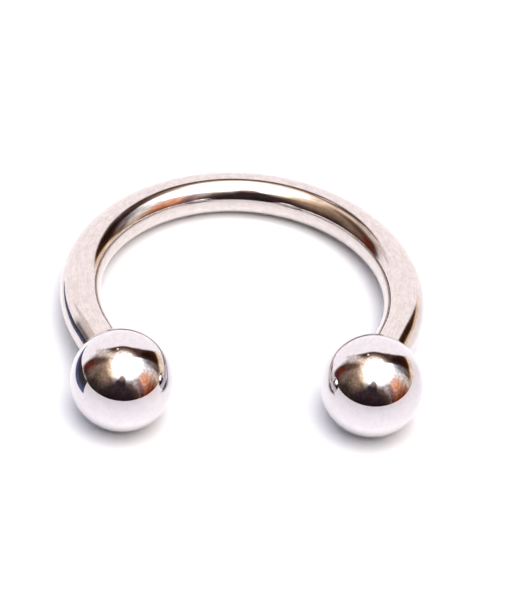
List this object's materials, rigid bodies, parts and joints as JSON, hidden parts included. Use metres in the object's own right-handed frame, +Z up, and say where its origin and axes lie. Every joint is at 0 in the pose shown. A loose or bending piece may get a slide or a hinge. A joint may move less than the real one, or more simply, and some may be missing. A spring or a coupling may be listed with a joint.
{
  "type": "circular barbell",
  "caption": "Horseshoe-shaped round steel bar, open at the front, with a screw-on ball closing each threaded end; worn through a piercing or used as a small open ring.",
  "frame": {"origin": "on the table, under the middle of the outline of the ring as it lies on its two balls and on the back of its bend", "axes": "+Z up from the table; the ring's opening and its balls are towards -Y, the back of the bend is towards +Y; +X is the right-hand ball; X = 0 is the plane of symmetry"},
  "size_m": [0.0142, 0.0142, 0.004],
  "materials": {
    "bar_steel": "mirror-polished 316L stainless steel, round drawn bar",
    "ball_steel": "mirror-polished 316L stainless steel ball"
  },
  "bodies": {
    "bar": {"horseshoe_bar": "bar_steel"},
    "left_ball": {"left_ball": "ball_steel"},
    "right_ball": {"right_ball": "ball_steel"}
  },
  "joints": [
    {"name": "left_ball_unscrew", "type": "slide", "parent": "bar", "child": "left_ball", "axis": [0.3665, -0.9253, 0.0974], "range_m": [0, 0.0028]},
    {"name": "right_ball_unscrew", "type": "slide", "parent": "bar", "child": "right_ball", "axis": [-0.3665, -0.9253, 0.0974], "range_m": [0, 0.0028]}
  ]
}
